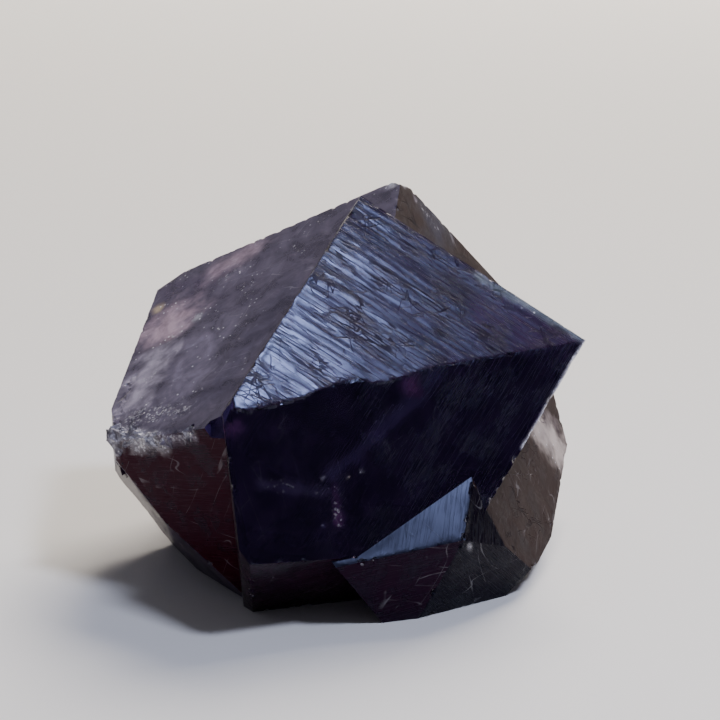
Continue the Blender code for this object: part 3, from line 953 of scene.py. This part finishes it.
    def growth_lines(self, tree: Tree, grain: Signal, strength: Signal) -> Signal:
        """Growth lines: long furrows along the facet's grain, crowded in some bands and thin in others."""
        wide = self.strokes(
            tree, grain, 0.0, self.stria_length, self.stria_gap, self.stria_thick, self.smooth
        )
        fine = self.strokes(
            tree, grain, self.fine_stria_turn, self.fine_stria_length, self.fine_stria_gap,
            self.fine_stria_thick, self.smooth,
        )
        crowded = self.patches(tree, grain, self.twig_region * self.crowd_region, *self.crowd_range)
        some = add_node(tree, "Math", TIMES, at0=crowded, at1=self.fine_share)
        lean = add_node(
            tree, "Math", TIMES_PLUS, at0=crowded, at1=1 - self.thin_share, at2=self.thin_share
        )
        wide = add_node(tree, "Math", TIMES, at0=wide, at1=lean)
        fine = add_node(tree, "Math", TIMES, at0=fine, at1=some)
        both = add_node(tree, "Math", LARGER, at0=wide, at1=fine)
        return add_node(tree, "Math", TIMES, at0=both, at1=strength)

    def twigs(self, tree: Tree, grain: Signal, strength: Signal) -> Signal:
        """Etched twigs: dark strokes that cross each other in loose bands."""
        found = None
        for turn in self.twig_turns:
            drawn = self.strokes(
                tree, grain, turn, self.twig_length, self.twig_gap, self.twig_thick, self.wavering
            )
            found = drawn if found is None else add_node(tree, "Math", LARGER, at0=found, at1=drawn)
        region = self.patches(tree, grain, self.twig_region, *self.twig_range)
        found = add_node(tree, "Math", TIMES, at0=found, at1=region)
        return add_node(tree, "Math", TIMES, at0=found, at1=strength)

    def cloud(self, tree: Tree, place: Signal) -> Signal:
        """How cloudy the crystal is from place to place, around 1."""
        rough = add_node(
            tree, "TexNoise", Scale=1 / self.cloud_size, Detail=self.cloud_detail,
            Roughness=self.cloud_ragged, Distortion=self.cloud_swirl, Vector=place,
        )
        low, high = self.cloud_noise
        least, most = self.cloud_levels
        return add_node(
            tree, "MapRange", Value=rough, From_Min=low, From_Max=high, To_Min=least, To_Max=most
        )

    def grit(self, tree: Tree, place: Signal) -> Signal:
        """The broken grains of bruised crystal, some that catch the light and some that don't."""
        grains = add_node(tree, "TexVoronoi", Scale=1 / self.grit_size, Randomness=1.0, Vector=place)
        bright = add_node(tree, "SeparateColor", Color=grains.outputs["Color"]).outputs["Red"]
        return add_node(
            tree, "Math", TIMES_PLUS, at0=grains.outputs["Distance"], at1=self.grit_shade, at2=bright
        )

    def white_marks(self, tree: Tree, grain: Signal, place: Signal, pale: Signal) -> Signal:
        """Hair scratches everywhere, and white flecks in the pale cloudy parts.

        Args:
            tree: the material's nodes.
            grain: the place along and across the facet's growth lines.
            place: the place in millimetres.
            pale: how pale the crystal is there.

        Returns:
            The node that holds how white they make it.
        """
        hair = None
        for turn in self.scratch_turns:
            drawn = self.strokes(
                tree, grain, turn, self.scratch_length, self.scratch_gap, self.scratch_thick, self.smooth
            )
            hair = drawn if hair is None else add_node(tree, "Math", LARGER, at0=hair, at1=drawn)
        silk = self.strokes(
            tree, grain, self.silk_turn, self.silk_length, self.silk_gap, self.silk_thick, self.smooth
        )
        silk = add_node(tree, "Math", TIMES, at0=silk, at1=self.silk_share)
        hair = add_node(tree, "Math", LARGER, at0=hair, at1=silk)
        worn = self.patches(tree, place, self.scratch_gap * self.worn_region, *self.worn_range)
        hair = add_node(tree, "Math", TIMES, at0=hair, at1=worn)
        hair = add_node(tree, "Math", TIMES, at0=hair, at1=self.scratch_share)
        cells = add_node(tree, "TexVoronoi", Scale=1 / self.fleck_size, Vector=place)
        faint, full = self.fleck_edge
        dots = add_node(
            tree, "MapRange", SMOOTH, Value=cells.outputs["Distance"], From_Min=faint, From_Max=full
        )
        region = self.patches(tree, place, self.cloud_size * self.fleck_region, *self.fleck_range)
        dots = add_node(tree, "Math", TIMES, at0=dots, at1=region)
        dots = add_node(tree, "Math", TIMES, at0=dots, at1=pale)
        return add_node(tree, "Math", LARGER, at0=hair, at1=dots)

    def frost_share(self, tree: Tree, grit: Signal, frost: Signal, marked: Signal) -> Signal:
        """How white a place is: the frost, broken up by its grit, and the white marks.

        Args:
            tree: the material's nodes.
            grit: the grit of bruised crystal.
            frost: how frosted the place is as a whole, together with the painted glints and highlights that
                are carried as frost.
            marked: the scratches and flecks.

        Returns:
            The node that holds it.
        """
        contrast, shift = self.grit_contrast
        broken = add_node(tree, "Math", TIMES_PLUS, at0=grit, at1=contrast, at2=shift)
        white = add_node(tree, "Math", {"operation": "ADD"}, at0=broken, at1=frost)
        faint, full = self.frost_range
        grown = add_node(tree, "MapRange", SMOOTH, Value=white, From_Min=faint, From_Max=full)
        grown = add_node(tree, "Math", TIMES, at0=grown, at1=frost)
        return add_node(tree, "Math", LARGER, at0=grown, at1=marked)

    def body(self, tree: Tree, share: Signal, cloud: Signal, dark: Signal, frost: Signal) -> Signal:
        """The share of the light that the crystal under the surface scatters.

        Args:
            tree: the material's nodes.
            share: the facet's own share.
            cloud: how cloudy the place is.
            dark: the furrows, where little is scattered.
            frost: how white the place is.

        Returns:
            The node that holds it.
        """
        clouded = add_node(tree, "Math", TIMES, at0=share, at1=cloud)
        kept = add_node(tree, "Math", TIMES_PLUS, at0=dark, at1=self.furrow_body, at2=1.0)
        furrowed = add_node(tree, "Math", TIMES, at0=clouded, at1=kept)
        return add_node(tree, "Math", LARGER, at0=furrowed, at1=frost)

    def roughness(self, tree: Tree, base: Signal, dark: Signal, frost: Signal) -> Signal:
        """The roughness: the facet's own, more in the furrows and twigs, and more on frost."""
        furrowed = add_node(tree, "Math", TIMES_PLUS, at0=dark, at1=self.furrow_roughness, at2=base)
        return add_node(
            tree, "Math", {**TIMES_PLUS, "use_clamp": True},
            at0=frost, at1=self.frost_roughness, at2=furrowed,
        )

    def height(self, tree: Tree, lines: Signal, twigs: Signal, grit: Signal, frost: Signal) -> Signal:
        """The fine relief in metres: furrows and twigs cut in, and grit where the crystal is bruised."""
        cut = add_node(tree, "Math", TIMES, at0=lines, at1=-self.line_depth * MM)
        deeper = add_node(tree, "Math", TIMES_PLUS, at0=twigs, at1=-self.twig_depth * MM, at2=cut)
        gritty = add_node(tree, "Math", TIMES, at0=grit, at1=frost)
        return add_node(tree, "Math", TIMES_PLUS, at0=gritty, at1=self.grit_depth * MM, at2=deeper)


@dataclass(frozen=True)
class MattePaper:
    """Seamless photo paper: matt pulp with no gloss, so it shows as one even pale grey."""

    colour: str = "e9e8e5"
    roughness: float = 0.9

    def build(self) -> bpy.types.Material:
        """Makes the material."""
        material = bpy.data.materials.new("matte_paper")
        material.use_nodes = True
        shader = material.node_tree.nodes["Principled BSDF"]
        shader.inputs["Base Color"].default_value = (*linear(self.colour), 1.0)
        shader.inputs["Roughness"].default_value = self.roughness
        return material


@dataclass(frozen=True)
class SoftLight:
    """A soft square light: its width in metres, its power in watts, and its colour."""

    name: str
    width: float
    watts: float
    colour: str

    def build(self, place: Vector, aim: Vector) -> None:
        """Hangs the light and turns it to what it lights.

        Args:
            place: where it hangs, in metres.
            aim: the place that it faces, in metres.
        """
        lamp = bpy.data.lights.new(self.name, "AREA")
        lamp.shape = "SQUARE"
        lamp.size = self.width
        lamp.energy = self.watts
        lamp.color = linear(self.colour)
        made = bpy.data.objects.new(self.name, lamp)
        bpy.context.scene.collection.objects.link(made)
        made.location = place
        made.rotation_mode = "QUATERNION"
        made.rotation_quaternion = (place - aim).to_track_quat("Z", "Y")


@dataclass(frozen=True)
class Studio:
    """The floor, the light and the camera.

    Lengths are in metres, but the camera's and the sheen's places and the window's distance are as the stone
    is seen, in millimetres.
    """

    frame: DisplayFrame
    floor_reach: float = 0.8
    sweep_start: float = 0.75
    sweep_radius: float = 0.5
    sweep_steps: int = 24
    camera_place: tuple[float, float, float] = (0.95, 3.515, 228.0)
    lens: float = 115.8
    room_back: str = "707078"
    room_front: str = "3c3a46"
    room_top: str = "606068"
    sheen_place: tuple[float, float, float] = (-14.0, 3.0, 22.0)
    window_distance: float = 300.0
    room_turn: tuple[float, float] = (-0.35, 0.45)
    room_rise: tuple[float, float] = (0.15, 0.60)
    clip: tuple[float, float] = (0.01, 10.0)
    window: SoftLight = SoftLight("overhead_window", 0.050, 0.66, "dce4ff")
    wash_place: tuple[float, float, float] = (0.42, 0.95, 0.95)
    wash_aim: tuple[float, float, float] = (0.0, 0.2, 0.0)
    wash: SoftLight = SoftLight("paper_wash", 0.8, 34.0, "fff5ea")

    def build(self) -> None:
        """Sets up the whole studio."""
        self.build_floor()
        self.build_room()
        self.build_lights()
        self.build_camera()

    def build_floor(self) -> None:
        """Lays the floor, which curves up behind the stone as one sheet."""
        profile = [(-self.floor_reach, 0.0), (self.sweep_start, 0.0)]
        for step in range(1, self.sweep_steps + 1):
            turn = math.pi / 2 * step / self.sweep_steps
            run, rise = math.sin(turn) * self.sweep_radius, (1 - math.cos(turn)) * self.sweep_radius
            profile.append((self.sweep_start + run, rise))
        sheet = bmesh.new()
        rows = [[sheet.verts.new((side * self.floor_reach, y, z)) for side in (-1, 1)] for y, z in profile]
        for (a, b), (c, d) in zip(rows, rows[1:]):
            sheet.faces.new((a, b, d, c))
        mesh = bpy.data.meshes.new("floor")
        sheet.to_mesh(mesh)
        sheet.free()
        mesh.polygons.foreach_set("use_smooth", [True] * len(mesh.polygons))
        floor = bpy.data.objects.new("floor", mesh)
        bpy.context.scene.collection.objects.link(floor)
        floor.data.materials.append(MattePaper().build())

    def build_room(self) -> None:
        """Lights the room from all round: pale behind the stone, dimmer on the viewer's side and overhead."""
        world = bpy.data.worlds.new("room")
        world.use_nodes = True
        tree = world.node_tree
        tree.nodes.clear()
        way = add_node(tree, "TexCoord").outputs["Generated"]
        axes = add_node(tree, "SeparateXYZ", Vector=way)
        behind = add_node(
            tree, "MapRange", SMOOTH, Value=axes.outputs["Y"],
            From_Min=self.room_turn[0], From_Max=self.room_turn[1],
        )
        above = add_node(
            tree, "MapRange", SMOOTH, Value=axes.outputs["Z"],
            From_Min=self.room_rise[0], From_Max=self.room_rise[1],
        )
        level = add_node(
            tree, "Mix", {"data_type": "RGBA"}, at0=behind.outputs[0],
            at6=(*linear(self.room_front), 1.0), at7=(*linear(self.room_back), 1.0),
        )
        colour = add_node(
            tree, "Mix", {"data_type": "RGBA"}, at0=above.outputs[0], at6=level.outputs[2],
            at7=(*linear(self.room_top), 1.0),
        )
        back = add_node(tree, "Background", Color=colour.outputs[2], Strength=1.0)
        add_node(tree, "OutputWorld", Surface=back.outputs["Background"])
        bpy.context.scene.world = world

    def build_lights(self) -> None:
        """Hangs a window-like light where the satin face mirrors it, and a broad one over the paper."""
        spot, eye = Vector(self.sheen_place), Vector(self.camera_place)
        way = self.frame.mirrored(spot, Vector(RULES[0].outward), eye)
        self.window.build(self.frame.placed(spot + way * self.window_distance), self.frame.placed(spot))
        self.wash.build(Vector(self.wash_place), Vector(self.wash_aim))

    def build_camera(self) -> None:
        """Places the camera at the display side."""
        lens = bpy.data.cameras.new("camera")
        lens.lens = self.lens
        lens.clip_start, lens.clip_end = self.clip
        camera = bpy.data.objects.new("camera", lens)
        bpy.context.scene.collection.objects.link(camera)
        camera.location = self.frame.placed(Vector(self.camera_place))
        camera.rotation_euler = (math.pi / 2 - self.frame.tilt, 0.0, 0.0)
        bpy.context.scene.camera = camera


def main() -> None:
    """Loads the solid, dresses it and sets up the studio."""
    logging.basicConfig(level=logging.INFO, format="%(name)s: %(message)s")
    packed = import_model()
    view = DisplayFrame()
    skin = StoneSkin(view).build(packed["nodes"][NODE])
    skin.data.materials.append(NaturalFluorite().build())
    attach(skin, "root")
    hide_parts(NODE)
    Studio(view).build()
    bpy.context.view_layer.update()
    LOG.info("studio: floor, light and camera")


if __name__ == "__main__":
    main()
